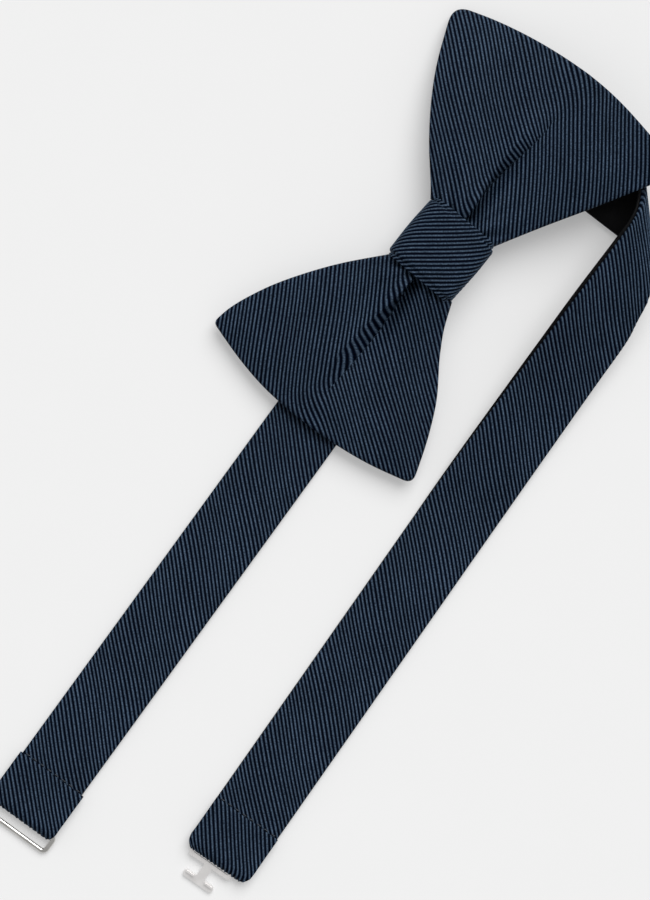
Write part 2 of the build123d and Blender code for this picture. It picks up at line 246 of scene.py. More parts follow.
# ---------------------------------------------------------------- materials
class Nodes:
    """Short words for building a material's node tree."""

    def __init__(self, name):
        self.material = bpy.data.materials.new(name)
        self.material.use_nodes = True
        self.tree = self.material.node_tree
        self.shader = self.tree.nodes["Principled BSDF"]

    def add(self, kind, **settings):
        node = self.tree.nodes.new(kind)
        for key, value in settings.items():
            setattr(node, key, value)
        return node

    def link(self, source, target):
        self.tree.links.new(source, target)

    def feed(self, node, values):
        """Put numbers or links into a node's first inputs, and give back its output."""
        for socket, value in zip(node.inputs, values):
            if isinstance(value, bpy.types.NodeSocket):
                self.link(value, socket)
            else:
                socket.default_value = value
        return node.outputs[0]

    def math(self, operation, a, b=0.5, c=0.0):
        return self.feed(self.add("ShaderNodeMath", operation=operation), (a, b, c))

    def noise(self, vector, scale, detail=2.0, roughness=0.5):
        node = self.add("ShaderNodeTexNoise")
        node.inputs["Scale"].default_value = scale
        node.inputs["Detail"].default_value = detail
        node.inputs["Roughness"].default_value = roughness
        self.link(vector, node.inputs["Vector"])
        return node.outputs["Fac"]

    def cloth_noise(self, along, ribs, along_scale, rib_scale, detail=2.0):
        """Noise stretched along the cords: how fast it changes per mm, and per cord."""
        across_and_along = (
            self.math("MULTIPLY", along, along_scale),
            self.math("MULTIPLY", ribs, rib_scale),
        )
        place = self.feed(self.add("ShaderNodeCombineXYZ"), across_and_along)
        return self.noise(place, 1.0, detail)

    def ramp(self, factor, *stops):
        node = self.add("ShaderNodeValToRGB")
        elements = node.color_ramp.elements
        while len(elements) < len(stops):
            elements.new(0.5)
        for element, (place, colour) in zip(elements, stops):
            element.position = place
            element.color = (*colour, 1.0)
        self.link(factor, node.inputs["Fac"])
        return node.outputs["Color"]

    def bump(self, height, distance, strength=1.0, before=None):
        node = self.add("ShaderNodeBump")
        node.inputs["Distance"].default_value = distance
        node.inputs["Strength"].default_value = strength
        self.link(height, node.inputs["Height"])
        if before is not None:
            self.link(before, node.inputs["Normal"])
        return node.outputs["Normal"]

    def cloth(self):
        """(along the rib in mm, ribs across) from the piece's own cloth coordinates."""
        uv = self.add("ShaderNodeUVMap", uv_map="cloth")
        split = self.add("ShaderNodeSeparateXYZ")
        self.link(uv.outputs["UV"], split.inputs[0])
        return split.outputs[0], split.outputs[1]

    def set(self, **values):
        for name, value in values.items():
            self.shader.inputs[name.replace("_", " ")].default_value = value
        return self

    def finish(self, colour, roughness, normal):
        self.link(colour, self.shader.inputs["Base Color"])
        self.link(roughness, self.shader.inputs["Roughness"])
        self.link(normal, self.shader.inputs["Normal"])
        return self.material


WEFT_PITCH = 0.24


def ribbed_silk(name, valley, body, crest):
    """Round cords side by side, each covered by fine threads that run along it. Their colour goes from
    dark in the valleys to light on the crests: partly the weave's own tones, partly painted shade in
    the valleys and a painted sheen highlight on the crests.
    """
    n = Nodes(name)
    along, ribs = n.cloth()
    turn = n.math("MULTIPLY", ribs, 2 * math.pi)
    cord = n.math("MULTIPLY_ADD", n.math("COSINE", turn), 0.5, 0.5)
    threads = n.cloth_noise(along, ribs, 0.5, 9.0, detail=3.0)
    grain = n.cloth_noise(along, ribs, 2.4, 2.6)
    slubs = n.cloth_noise(along, ribs, 0.12, 1.0)
    cloud = n.cloth_noise(along, ribs, 0.05, 0.05)
    # The cord ramp is partly painted light: shade is painted into the valleys between cords and a sheen
    # highlight onto their crests, over the silk's own navy body colour.
    colour = n.ramp(cord, (0.08, valley), (0.46, body), (1.0, crest))
    # Each pattern's strength, and the shade where it is darkest.
    shade = n.math("MULTIPLY_ADD", threads, 1.3, 0.35)
    for pattern, strength, least in ((grain, 2.8, -0.38), (slubs, 0.9, 0.55), (cloud, 0.5, 0.75)):
        shade = n.math("MULTIPLY", shade, n.math("MULTIPLY_ADD", pattern, strength, least))
    shaded = n.add("ShaderNodeVectorMath", operation="SCALE")
    n.link(colour, shaded.inputs[0])
    n.link(shade, shaded.inputs["Scale"])
    weft = n.math("SINE", n.math("MULTIPLY", along, 2 * math.pi / WEFT_PITCH))
    height = n.math("MULTIPLY_ADD", threads, 0.6, n.math("MULTIPLY", weft, 0.12))
    normal = n.bump(cord, 0.00016, 0.8)
    normal = n.bump(height, 0.00009, 0.7, normal)
    rough = n.math("MULTIPLY_ADD", threads, 0.22, 0.36)
    n.set(Specular_IOR_Level=0.02)
    return n.finish(shaded.outputs[0], rough, normal)


def satin_lining(name, dark, light):
    n = Nodes(name)
    along, ribs = n.cloth()
    threads = n.cloth_noise(along, ribs, 0.6, 10.0)
    cloud = n.cloth_noise(along, ribs, 0.15, 0.2)
    colour = n.ramp(threads, (0.25, dark), (0.8, light))
    normal = n.bump(threads, 0.00006, 0.6)
    normal = n.bump(cloud, 0.0006, 0.5, normal)
    rough = n.math("MULTIPLY_ADD", threads, 0.2, 0.34)
    n.set(Specular_IOR_Level=0.05)
    return n.finish(colour, rough, normal)


def sewing_thread(name, dark, light):
    n = Nodes(name)
    place = n.add("ShaderNodeTexCoord").outputs["Object"]
    wave = n.add("ShaderNodeTexWave", wave_type="BANDS", bands_direction="DIAGONAL")
    n.link(place, wave.inputs["Vector"])
    wave.inputs["Scale"].default_value = 900.0
    wave.inputs["Distortion"].default_value = 1.5
    colour = n.ramp(wave.outputs["Fac"], (0.1, dark), (0.9, light))
    fuzz = n.noise(place, 3000.0)
    rough = n.math("MULTIPLY_ADD", fuzz, 0.3, 0.45)
    return n.finish(colour, rough, n.bump(wave.outputs["Fac"], 0.0001, 0.7))


def nickel_plate(name, dull, bright, least_rough, metallic):
    n = Nodes(name)
    place = n.add("ShaderNodeTexCoord").outputs["Object"]
    stretched = n.add("ShaderNodeMapping")
    n.link(place, stretched.inputs["Vector"])
    stretched.inputs["Scale"].default_value = (300.0, 2200.0, 2200.0)
    scratches = n.noise(stretched.outputs[0], 1.0, 4.0, 0.7)
    smudge = n.noise(place, 260.0, 2.0)
    colour = n.ramp(smudge, (0.25, dull), (0.8, bright))
    rough = n.math("MULTIPLY_ADD", smudge, 0.16, least_rough)
    rough = n.math("MULTIPLY_ADD", scratches, 0.16, rough)
    n.set(Metallic=metallic)
    return n.finish(colour, rough, n.bump(scratches, 0.00003, 0.4))


# valley is painted shade between the cords and crest a painted sheen highlight on their tops, each
# partly the weave's own tone; body is the silk's navy.
silk = ribbed_silk(
    "navy_silk",
    valley=(0.0, 0.0008, 0.0046), body=(0.0034, 0.0088, 0.0210), crest=(0.054, 0.082, 0.122),
)
lining = satin_lining("black_lining", (0.0015, 0.0015, 0.0018), (0.0065, 0.0066, 0.0075))
thread = sewing_thread("navy_thread", (0.004, 0.007, 0.013), (0.02, 0.03, 0.046))
polished = nickel_plate(
    "polished_nickel", (0.50, 0.49, 0.47), (0.68, 0.67, 0.65), least_rough=0.0, metallic=1.0
)
stamped = nickel_plate(
    "stamped_nickel", (0.80, 0.78, 0.77), (0.93, 0.91, 0.90), least_rough=0.22, metallic=0.6
)


# ---------------------------------------------------------------- the neck band
def square_ruling(x, offset, degrees, height, width=BAND_WIDTH, tilt=0.0):
    """A ruling square to a run. tilt raises its right edge about its left one."""
    centre = np.array([x, offset + x * math.tan(math.radians(degrees)), height])
    left = across(degrees) * width / 2
    if tilt:
        lean = math.radians(tilt)
        foot = centre + left
        rise = -left * 2 * math.cos(lean) + UP * width * math.sin(lean)
        return foot, foot + rise
    return centre + left, centre - left


STATION_STEP = 0.7


def between(keys):
    """Smooth rulings through the given ones."""
    keys = np.array(keys, float)
    span = np.linalg.norm(np.diff(keys.mean(axis=1), axis=0), axis=1)
    params = np.concatenate([[0], np.cumsum(np.maximum(span, 1e-3))])
    at = np.linspace(0, params[-1], int(params[-1] / STATION_STEP) + 12)
    return catmull(keys, params, at)


BAND_MIDDLE = BAND_THICKNESS / 2
KNOT_BAND_HEIGHT, KNOT_BAND_WIDTH, KNOT_BAND_OFFSET = 2.1, 18.6, 0.3
END_INSET = 3.6  # each tail stops short of its turned end


def upper_ruling(x, height=BAND_MIDDLE, width=BAND_WIDTH, offset=BAND_OFFSET):
    return square_ruling(x, offset, BAND_ANGLE, height, width)


def in_knot(x):
    return upper_ruling(x, KNOT_BAND_HEIGHT, KNOT_BAND_WIDTH, KNOT_BAND_OFFSET)


def flipped(ruling):
    return ruling[1], ruling[0]


# The left half runs from inside the knot to the ring: its heading is 184 degrees.
left_keys = [flipped(in_knot(x)) for x in (0.0, -6.0, -11.0)]
for x in (-34.0, -48.0, -60.0, -66.0, -80.0, -110.0, -140.0, -170.0, RING_END_X + END_INSET):
    left_keys.append(flipped(upper_ruling(x)))
left_rulings = between(left_keys)


def meeting(offset, degrees):
    """Where the crossing run's centre line meets another run's."""
    lean = math.tan(math.radians(degrees))
    direction = heading(CROSSING_ANGLE)
    slope = direction[0] / direction[1]
    x0, y0 = CROSSING_POINT
    x = (x0 + slope * (offset - y0)) / (1 - slope * lean)
    return np.array([x, offset + lean * x, 0.0])


def roll(fold, degrees_in, degrees_out, radius, start, steps=14):
    """Rulings round a half-turn roll that takes the band down under itself."""
    axis = heading((degrees_in + degrees_out) / 2)
    incoming = heading(degrees_in)
    outward = np.cross(axis, UP)
    if outward @ incoming < 0:
        outward = -outward
    if axis @ across(degrees_in) < 0:
        axis = -axis
    lead = (incoming @ axis) / (incoming @ outward)
    half = BAND_WIDTH / (incoming @ outward) / 2
    found = []
    for angle in np.linspace(0, math.pi, steps + 1):
        middle = (
            fold
            + outward * radius * (math.sin(angle) - math.pi / 2)
            + axis * radius * (angle - math.pi / 2) * lead
            + UP * (start - radius * (1 - math.cos(angle)))
        )
        found.append((middle + axis * half, middle - axis * half))
    return found


RUN_GAP = 0.35  # between the band's upper run and the run that crosses under it
tight_fold = meeting(BAND_OFFSET, BAND_ANGLE)
loose_fold = meeting(RETURN_OFFSET, RETURN_ANGLE)
upper_height = BAND_MIDDLE + 2 * TIGHT_ROLL + RUN_GAP
loose_middle = (tight_fold + loose_fold) / 2 - heading(CROSSING_ANGLE) * (
    (LOOSE_ROLL - TIGHT_ROLL) * math.pi / 4
)
CROSSING_HEIGHT = 1.3
crossing_left = -across(CROSSING_ANGLE) * BAND_WIDTH / 2
right_keys = [in_knot(x) for x in (0.0, 6.0, 11.0)]
right_keys += [upper_ruling(22.0, upper_height), upper_ruling(27.0, upper_height)]
right_keys += roll(tight_fold, BAND_ANGLE, CROSSING_ANGLE, TIGHT_ROLL, upper_height)
crossing_middle = loose_middle + UP * CROSSING_HEIGHT
right_keys.append((crossing_middle + crossing_left, crossing_middle - crossing_left))
# The loose roll: the strip turns up off the table and over, and its inner edge stays high
# under the wing. Each line is one ruling: the outer edge's end, then the inner edge's.
LOOSE_RULINGS = (
    ((34.6, -37.5, 1.3), (54.2, -15.0, 1.3)),
    ((34.9, -41.0, 1.7), (54.0, -19.5, 1.5)),
    ((34.9, -44.3, 3.4), (52.9, -24.6, 3.2)),
    ((33.8, -46.4, 6.0), (50.6, -28.4, 6.5)),
    ((31.8, -48.1, 8.2), (47.4, -31.1, 10.0)),
    ((28.8, -50.0, 9.0), (43.7, -33.2, 12.6)),
    ((24.6, -52.0, 8.6), (39.4, -34.4, 13.6)),
    ((19.6, -53.2, 7.4), (33.0, -34.9, 13.6)),
)
right_keys += [tuple(np.array(end) for end in ruling) for ruling in LOOSE_RULINGS]
# On the way back the inner edge comes down to the table: (x, outer edge's height, tilt).
RETURN_TILTS = ((12.0, 5.2, 21.0), (0.0, 3.6, 18.5), (-12.0, 2.4, 15.5), (-24.0, 1.6, 12.0),
                (-36.0, 1.2, 8.0), (-47.0, 1.0, 3.5))
for x, foot, tilt in RETURN_TILTS:
    right_keys.append(square_ruling(x, RETURN_OFFSET, RETURN_ANGLE, foot, tilt=tilt))
for x in (-58.0, -80.0, -110.0, -140.0, HOOK_END_X + END_INSET):
    right_keys.append(square_ruling(x, RETURN_OFFSET, RETURN_ANGLE, BAND_MIDDLE))
right_rulings = between(right_keys)

HALF_BAND = BAND_WIDTH / 2
cloth_section = slab(HALF_BAND, BAND_MIDDLE, -BAND_MIDDLE + LINING_THICKNESS, 20)
LINING_SHOWS = 0.3  # on each side of the band
lining_section = slab(
    HALF_BAND + LINING_SHOWS, -BAND_MIDDLE + 2 * LINING_THICKNESS, -BAND_MIDDLE, 16
)
LINING_STEP = 0.6


SLIP_AT_X = (-60, -20, 10, 38, 46)
SLIP = (0.1, 0.4, 0.75, 1.1, 0)


def peeking(rulings):
    """The lining slips a little past the cloth's inner edge where the band turns over."""
    rulings = np.array(rulings, float)
    side = rulings[:, 1] - rulings[:, 0]
    side /= np.linalg.norm(side, axis=1)[:, None]
    x = rulings.mean(axis=1)[:, 0]
    turned_over = np.arange(len(x)) > np.argmax(x)
    slip = np.interp(x, SLIP_AT_X, SLIP) * turned_over
    return rulings + (side * slip[:, None])[:, None]


def lining_piece(name, rulings):
    return strip_piece(
        name, rulings, lining_section, lining, rib_height=0.0, step=LINING_STEP
    )


left_band = strip_piece("left_band_cloth", left_rulings, cloth_section, silk)
left_lining = lining_piece("left_band_lining", left_rulings)
right_band = strip_piece("right_band_cloth", right_rulings, cloth_section, silk)
right_lining = lining_piece("right_band_lining", peeking(right_rulings))


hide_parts("left_tail_face", "left_tail_interlining")
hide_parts("left_tail_lining")
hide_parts("band_face", "band_interlining", "right_tail_face", "right_tail_interlining")
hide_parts("band_lining", "right_tail_lining")
for piece in (left_band, left_lining):
    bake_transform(piece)
for piece in (right_band, right_lining):
    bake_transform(piece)


# ---------------------------------------------------------------- the tails' turned ends
BAR_RADIUS = 1.3  # from the bar's axis to the middle of the cloth
BAR_INSET, BAR_HEIGHT = 1.8, 1.8
TURNOVER_LENGTH = 15.5
TURNOVER_HALF_THICKNESS = 0.45
# The cloth's middle before and after the bar: (distance past the end, height).
TURNOVER_UNDER = [(-4.6, 0.85), (-3.2, 0.8)]
TURNOVER_OVER = [
    (-4.0, 2.98), (-6.0, 2.72), (-8.0, 2.56), (-11.0, 2.5), (-13.5, 2.48), (-TURNOVER_LENGTH, 2.32)
]


def tail_frame(end_x, offset, degrees, outward_degrees):
    origin = np.array([end_x, offset + end_x * math.tan(math.radians(degrees)), 0.0])
    return origin, heading(outward_degrees), across(outward_degrees)


def turnover_piece(name, tail, end_width, root_width, rib_angle, corner):
    """The cloth goes under the bar, round it and back over the band, face outward."""
    origin, out, side = tail
    round_bar = [
        (-BAR_INSET + BAR_RADIUS * math.cos(turn), BAR_HEIGHT + BAR_RADIUS * math.sin(turn))
        for turn in np.linspace(-math.pi / 2, math.pi / 2, 9)
    ]
    keys = []
    for s, z in TURNOVER_UNDER + round_bar + TURNOVER_OVER:
        nose = np.clip((s + corner + 0.5) / corner, 0, 1)
        half = root_width / 2 - (root_width - end_width) / 2 * (1 - math.sqrt(1 - nose**2))
        middle = origin + out * s + UP * z
        keys.append((middle - side * half, middle + side * half))
    section = slab(root_width / 2, TURNOVER_HALF_THICKNESS, -TURNOVER_HALF_THICKNESS, 20)
    return strip_piece(name, between(keys), section, silk, rib_angle=rib_angle)


ring_tail = tail_frame(RING_END_X, BAND_OFFSET, BAND_ANGLE, 180 + BAND_ANGLE)
hook_tail = tail_frame(HOOK_END_X, RETURN_OFFSET, RETURN_ANGLE, RETURN_ANGLE)
ring_end = turnover_piece("ring_turnover_cloth", ring_tail, 18.6, 21.2, 47.0, 2.0)
hook_end = turnover_piece("hook_turnover_cloth", hook_tail, 15.8, 20.4, 39.5, 3.0)
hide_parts("ring_turnover")
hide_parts("hook_turnover")
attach(ring_end, "left_tail")
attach(hook_end, "right_tail")


# ---------------------------------------------------------------- the knot
KNOT_RIB_ANGLE = 40.0
HEM = 1.1
KNOT_INSET = 0.45  # room for the cords inside the knot's box
SEAM_AT = (4.5, 0.0)


def knot_section(count=240):
    """The knot's section, from the seam on its back round over its crown."""
    half = (knot_high[1] - knot_low[1]) / 2 - KNOT_INSET
    turns = np.linspace(0, 2 * math.pi, count + 1)
    y = np.cos(turns)
    z = np.sin(turns)
    crown, back = 2.9, 5.5
    power = np.where(z > 0, crown, back)
    scale = (np.abs(y) ** power + np.abs(z) ** power) ** (-1 / power)
    section = np.stack([y * scale * half, KNOT_TOP / 2 + z * scale * (KNOT_TOP / 2 - 0.5)], axis=1)
    seam = int(np.argmin(np.hypot(section[:, 0] - SEAM_AT[0], section[:, 1] - SEAM_AT[1])))
    section = np.roll(section[:-1], -seam, axis=0)
    return np.concatenate([section, section[:1]])


section_points = knot_section()
knot_rulings = np.array(
    [((-KNOT_HALF_LENGTH, y, z), (KNOT_HALF_LENGTH, y, z)) for y, z in section_points]
)
# Run it so that the strip heads towards +Y over the crown.
crown_at = int(np.argmax(section_points[:, 1]))
if section_points[crown_at + 2, 0] < section_points[crown_at - 2, 0]:
    knot_rulings = knot_rulings[::-1]
perimeter = np.linalg.norm(np.diff(section_points, axis=0), axis=1).sum()


EDGE_ROLL, EDGE_ROLL_WIDTH = 1.1, 1.8
HEM_DEPTH, HEM_WIDTH = 0.9, 0.35
CROWN = 0.3
# Creases along the wrap: (height, place round the knot from 0 to 1, x, reach).
KNOT_CREASES = ((0.25, 0.27, -2.5, 5.0), (-0.22, 0.245, 4.0, 4.5))
CREASE_WIDTH = 0.012


def knot_relief(at, b):
    """The edges roll in, the hem shows as a narrow groove, and the crown has soft creases."""
    x = -b
    away = KNOT_HALF_LENGTH - abs(x)
    rolled = -EDGE_ROLL * (1 - smooth(0, EDGE_ROLL_WIDTH, away)) ** 2
    groove = -HEM_DEPTH * hill(away - HEM, HEM_WIDTH)
    share = at / perimeter
    crease = 0.16 * np.sin(2 * math.pi * (share * 3 + x * 0.035)) * hill(share - 0.3, 0.12)
    for height, place, middle, reach in KNOT_CREASES:
        crease = crease + height * hill(share - place, CREASE_WIDTH) * hill(x - middle, reach)
    seam = -0.4 * hill((share + 0.5) % 1.0 - 0.5, CREASE_WIDTH)
    return rolled + groove + crease + seam + CROWN * hill(x, 6.0)


def knot_fan(at, b):
    """The cords fan out a little over the crown, as the wrap is pulled tight in its middle."""
    share = at / perimeter - 0.29
    spread = 0.15 * share * perimeter * hill(share, 0.16) * b / KNOT_HALF_LENGTH
    return spread + 0.5 * wobble(at, b) * hill(share, 0.2)


rib_count = round(perimeter * math.sin(math.radians(KNOT_RIB_ANGLE)) / RIB_PITCH)
knot_pitch = perimeter * math.sin(math.radians(KNOT_RIB_ANGLE)) / rib_count
# (across, off, cord share): the front, the edge rolled in, the inside and the other edge.
knot_edge = [(-0.25, 0.7), (-0.5, 0.4), (-0.75, 0.1)]
knot_profile = [(p, 0.0, 1.0) for p in np.sin(np.linspace(-1, 1, 41) * math.pi / 2)]
knot_profile += [(1.0, off, share) for off, share in knot_edge]
knot_profile += [(p, -0.75, 0.0) for p in np.linspace(0.985, -0.985, 9)]
knot_profile += [(-1.0, off, share) for off, share in reversed(knot_edge)]
knot = strip_piece(
    "knot_wrap_cloth", knot_rulings, knot_profile, silk,
    rib_angle=KNOT_RIB_ANGLE, closed=True, pitch=knot_pitch, relief=knot_relief, fan=knot_fan,
)
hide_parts("knot_wrap", "knot_interlining")
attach(knot, "bow")


# ---------------------------------------------------------------- the wings
def curve(*points, count=60):
    """A smooth line through a few points."""
    points = np.array(points, float)
    span = np.linalg.norm(np.diff(points, axis=0), axis=1)
    params = np.concatenate([[0], np.cumsum(span)])
    return catmull(points, params, np.linspace(0, params[-1], count))


def soft_corner(before, corner, after, count=10):
    t = np.linspace(0, 1, count)[:, None]
    return (1 - t) ** 2 * before + 2 * t * (1 - t) * corner + t**2 * after


def wing_outline(root, top, tip_top, end, tip_bottom, bottom, softness):
    """A closed outline: out along the top edge, down the end, back along the bottom."""
    upper = curve(*top, tip_top)
    outer = curve(tip_top, *end, tip_bottom)
    lower = curve(tip_bottom, *bottom)
    first, second = softness

    def trimmed(line, from_start, from_end):
        run = np.concatenate([[0], np.cumsum(np.linalg.norm(np.diff(line, axis=0), axis=1))])
        at = np.linspace(from_start, run[-1] - from_end, len(line))
        return np.stack([np.interp(at, run, line[:, k]) for k in range(2)], axis=1)

    upper = trimmed(upper, 0, first)
    outer = trimmed(outer, first, second)
    lower = trimmed(lower, second, 0)
    parts = [upper, soft_corner(upper[-1], np.array(tip_top), outer[0]), outer]
    parts += [soft_corner(outer[-1], np.array(tip_bottom), lower[0]), lower, curve(*root)]
    return np.concatenate(parts)


def crossings(outline, normal, along, level):
    """Where the line at a level crosses the outline: its first and last point on it."""
    height = outline @ normal - level
    ahead = np.roll(height, -1)
    cut = (height > 0) != (ahead > 0)
    share = height[cut] / (height[cut] - ahead[cut])
    points = outline[cut] + (np.roll(outline, -1, axis=0)[cut] - outline[cut]) * share[:, None]
    place = points @ along
    return place.min(), place.max()


def distance_to(outline, points):
    """Each point's distance from the outline."""
    start = outline
    step = np.roll(outline, -1, axis=0) - start
    size = np.maximum((step**2).sum(axis=1), 1e-12)
    nearest = np.full(len(points), 1e9)
    for s, d, q in zip(start, step, size):
        t = np.clip(((points - s) @ d) / q, 0, 1)
        gap = points - (s + t[:, None] * d)
        nearest = np.minimum(nearest, (gap**2).sum(axis=1))
    return np.sqrt(nearest)


WING_COLUMNS = 40  # on each side of the pleat
SPLIT_ROUNDS, SPLIT_MARGIN = 6, 0.12
EVEN_SHARE = 0.22  # the rest of the columns crowd towards the pleat and the rim
WING_RIM = 1.1
WING_HALF_THICKNESS, WING_PADDING = 0.95, 0.6
WING_ROOT_X = 9.0
BUNDLE_REACH, BUNDLE_FRONT, BUNDLE_BACK = 12.0, 3.4, 2.4
TOOTH_HEIGHT, TOOTH_PLACE = 0.45, 18


def line_at(points, x):
    """Height at x of a smooth line through a few points, level beyond its ends."""
    places, heights = np.array(points, float).T
    order = np.argsort(places)
    places, heights = places[order], heights[order]
    return catmull(heights, places, np.clip(x, places[0], places[-1]))


def rib_phase(x, y, wing):
    """Ribs across the wing. The cloth's two halves have turned about the pleat's end, so
    the cords run at one angle above the crest and at another below the valley. Between
    them, on the pleat's flank, they run straight down from the crest."""
    px, py = wing["pleat_end"]

    def turned(degrees, x, y):
        a = math.radians(degrees)
        return ((x - px) * math.sin(a) - (y - py) * math.cos(a)) / RIB_PITCH

    above, below = (turned(degrees, x, y) for degrees in wing["rib_angles"])
    crest, valley = line_at(wing["crest"], x), line_at(wing["valley"], x)
    foot = x - (crest - y) * wing["side"] * wing["tooth_lean"]
    flank = turned(wing["rib_angles"][0], foot, line_at(wing["crest"], foot))
    folded = np.where(y > crest, above, np.where(y > valley, flank, below))
    past = (x - px) * wing["side"]
    width = 3.2 + 0.6 * np.maximum(past, 0)
    share = smooth(-1, 1, (y - (crest + valley) / 2) / width)
    plain = above * share + below * (1 - share)
    late = smooth(-15, 2, past)
    return folded * (1 - late) + plain * late + wobble(x, y)


PLEAT_DEPTH, PLEAT_LEAST, PLEAT_LIP = 4.2, 1.2, 1.9


def pleat(out, y, crest, valley, wing):
    """Height of the pleat, and how far its lip hangs over. out is the distance from the
    knot. The flank drops from the crest to the valley, and the cloth rises again beyond."""
    deep_to, ends_at = wing["pleat_reach"]
    alive = 1 - smooth(deep_to, ends_at, out)
    depth = PLEAT_DEPTH * (1 - smooth(0.1 * deep_to, 1.3 * deep_to, out)) + PLEAT_LEAST * alive
    lip = PLEAT_LIP * alive * smooth(-2, 8, out)
    width = np.maximum(crest - valley, 0.3)
    drop = np.clip((y - valley) / width, 0, 1) ** 0.8
    beyond = 0.35 * hill(y - crest, 1.6) + 0.65 * hill(y - crest, 5.0)
    height = np.where(y > crest, lip * beyond, -depth + (depth + lip) * drop)
    height = np.where(y < valley, -depth * hill(y - valley, 2.6), height)
    overhang = hill(y - crest, 0.9) * (1 - smooth(0.3 * deep_to, 0.8 * deep_to, out))
    return height, overhang


def wing_piece(name, wing):
    outline = wing["outline"]
    lean = math.radians(sum(wing["rib_angles"]) / 2)
    along = np.array([math.cos(lean), math.sin(lean)])
    normal = np.array([-math.sin(lean), math.cos(lean)])
    level = outline @ normal
    rows = int((level.max() - level.min()) / ROW_STEP)
    levels = np.linspace(level.min() + 0.01, level.max() - 0.01, rows)
    ends = np.array([crossings(outline, normal, along, h) for h in levels])
    # Each row is divided where it crosses the pleat, so that the pleat's edge is sharp.
    split = -levels * normal[1] / along[1]
    for _ in range(SPLIT_ROUNDS):
        x = split * along[0] + levels * normal[0]
        split = (line_at(wing["valley"], x) - levels * normal[1]) / along[1]
    margin = SPLIT_MARGIN * (ends[:, 1] - ends[:, 0])
    split = np.clip(split, ends[:, 0] + margin, ends[:, 1] - margin)
    even = np.linspace(0, 1, WING_COLUMNS + 1)
    spread = EVEN_SHARE * even + (1 - EVEN_SHARE) * smooth(0, 1, even)
    first = ends[:, :1] + (split[:, None] - ends[:, :1]) * spread[None, :]
    second = split[:, None] + (ends[:, 1:] - split[:, None]) * spread[None, 1:]
    place = np.concatenate([first, second], axis=1)
    columns = place.shape[1]
    shape = (rows, columns)
    xy = place[..., None] * along + levels[:, None, None] * normal
    flat = xy.reshape(-1, 2)
    x, y = flat[:, 0], flat[:, 1]
    gap = distance_to(outline, flat)
    rim = np.sqrt(1 - (1 - np.clip(gap / WING_RIM, 0, 1)) ** 2)
    ribs = rib_phase(x, y, wing)
    out = np.maximum(wing["side"] * x - WING_ROOT_X, 0)
    crest, valley = line_at(wing["crest"], x), line_at(wing["valley"], x)
    fold, overhang = pleat(out, y, crest, valley, wing)
    inside = smooth(0, 3, gap)
    on_flank = hill(y - (crest + valley) / 2, 2.0) * hill(out - TOOTH_PLACE, 12.0)
    teeth = 1 + TOOTH_HEIGHT * on_flank
    rib_lift = RIB_HEIGHT * np.cos(2 * math.pi * ribs) * smooth(0, 0.5, gap) * teeth
    bundle = hill(out, BUNDLE_REACH) * (1 - np.clip(np.abs(y) / 13, 0, 1) ** 2)
    middle = wing["middle"](x, y)
    loft = WING_HALF_THICKNESS * rim + WING_PADDING * smooth(0, 8, gap)
    front = middle + loft + rim * (BUNDLE_FRONT * bundle + wing["gathers"](x, y))
    front = front + inside * fold + rib_lift
    under_fold = 0.7 * np.maximum(-fold, 0)
    back = middle - loft - rim * BUNDLE_BACK * bundle - inside * under_fold - rib_lift
    back = np.minimum(back, front - 0.5 * rim)
    front, back = front.reshape(shape), back.reshape(shape)
    around = np.concatenate([np.arange(columns), np.arange(columns - 2, 0, -1)])
    height = np.concatenate([front, back[:, columns - 2 : 0 : -1]], axis=1)
    plan = xy[:, around].copy()
    plan[:, :columns, 1] -= (inside * overhang).reshape(shape)
    loops = np.concatenate([plan, height[..., None]], axis=2)
    uv = np.stack([place[:, around], ribs.reshape(shape)[:, around]], axis=2)
    return loops_mesh(name, loops[:, ::-1], uv[:, ::-1], silk)


RIGHT_ROOT_HEIGHT, RIGHT_SLOPE, RIGHT_TWIST, RIGHT_DROOP = 8.4, 0.125, 0.0012, 0.0062
LEFT_ROOT_HEIGHT, LEFT_SLOPE, LEFT_DROOP = 8.2, 0.075, 0.0010


def right_middle(x, y):
    """The wing leans on the rolled band, and its +Y half droops to the table."""
    out = x - WING_ROOT_X
    rise = out * (RIGHT_SLOPE - RIGHT_TWIST * np.minimum(y, 0))
    droop = RIGHT_DROOP * np.maximum(y, 0) * np.maximum(out, 0)
    return RIGHT_ROOT_HEIGHT + rise - droop - 0.9 * smooth(35, 62, x)


def left_middle(x, y):
    out = -x - WING_ROOT_X
    droop = LEFT_DROOP * np.abs(y) * np.maximum(out - 20, 0)
    return LEFT_ROOT_HEIGHT - out * LEFT_SLOPE - droop


def gathers(x, y, side, creases):
    """Small tucks that run out from under the knot: (angle, width, height, reach)."""
    r = np.hypot(x - side * 4.0, y)
    angle = np.degrees(np.arctan2(y, side * x - 4.0))
    return sum(tall * hill(angle - at, wide) * hill(r, reach) for at, wide, tall, reach in creases)


def right_gathers(x, y):
    creases = (
        (58, 3.5, -1.5, 14.0), (50, 4.0, 0.8, 15.0), (41, 4.0, -0.9, 17.0), (28, 6.0, 0.5, 21.0),
        (-24, 5.0, -0.9, 17.0), (-35, 5.0, 0.5, 18.0), (-47, 4.0, -1.0, 14.0),
    )
    return gathers(x, y, 1, creases)


def left_gathers(x, y):
    creases = (
        (46, 4.0, -0.9, 14.0), (34, 6.0, 0.5, 20.0), (22, 5.0, -0.7, 19.0),
        (-26, 4.0, 0.6, 14.0), (-34, 2.6, -1.3, 13.0), (-41, 2.6, 0.9, 13.0),
        (-48, 2.6, -1.3, 13.0), (-56, 3.0, 0.5, 14.0),
    )
    return gathers(x, y, -1, creases)


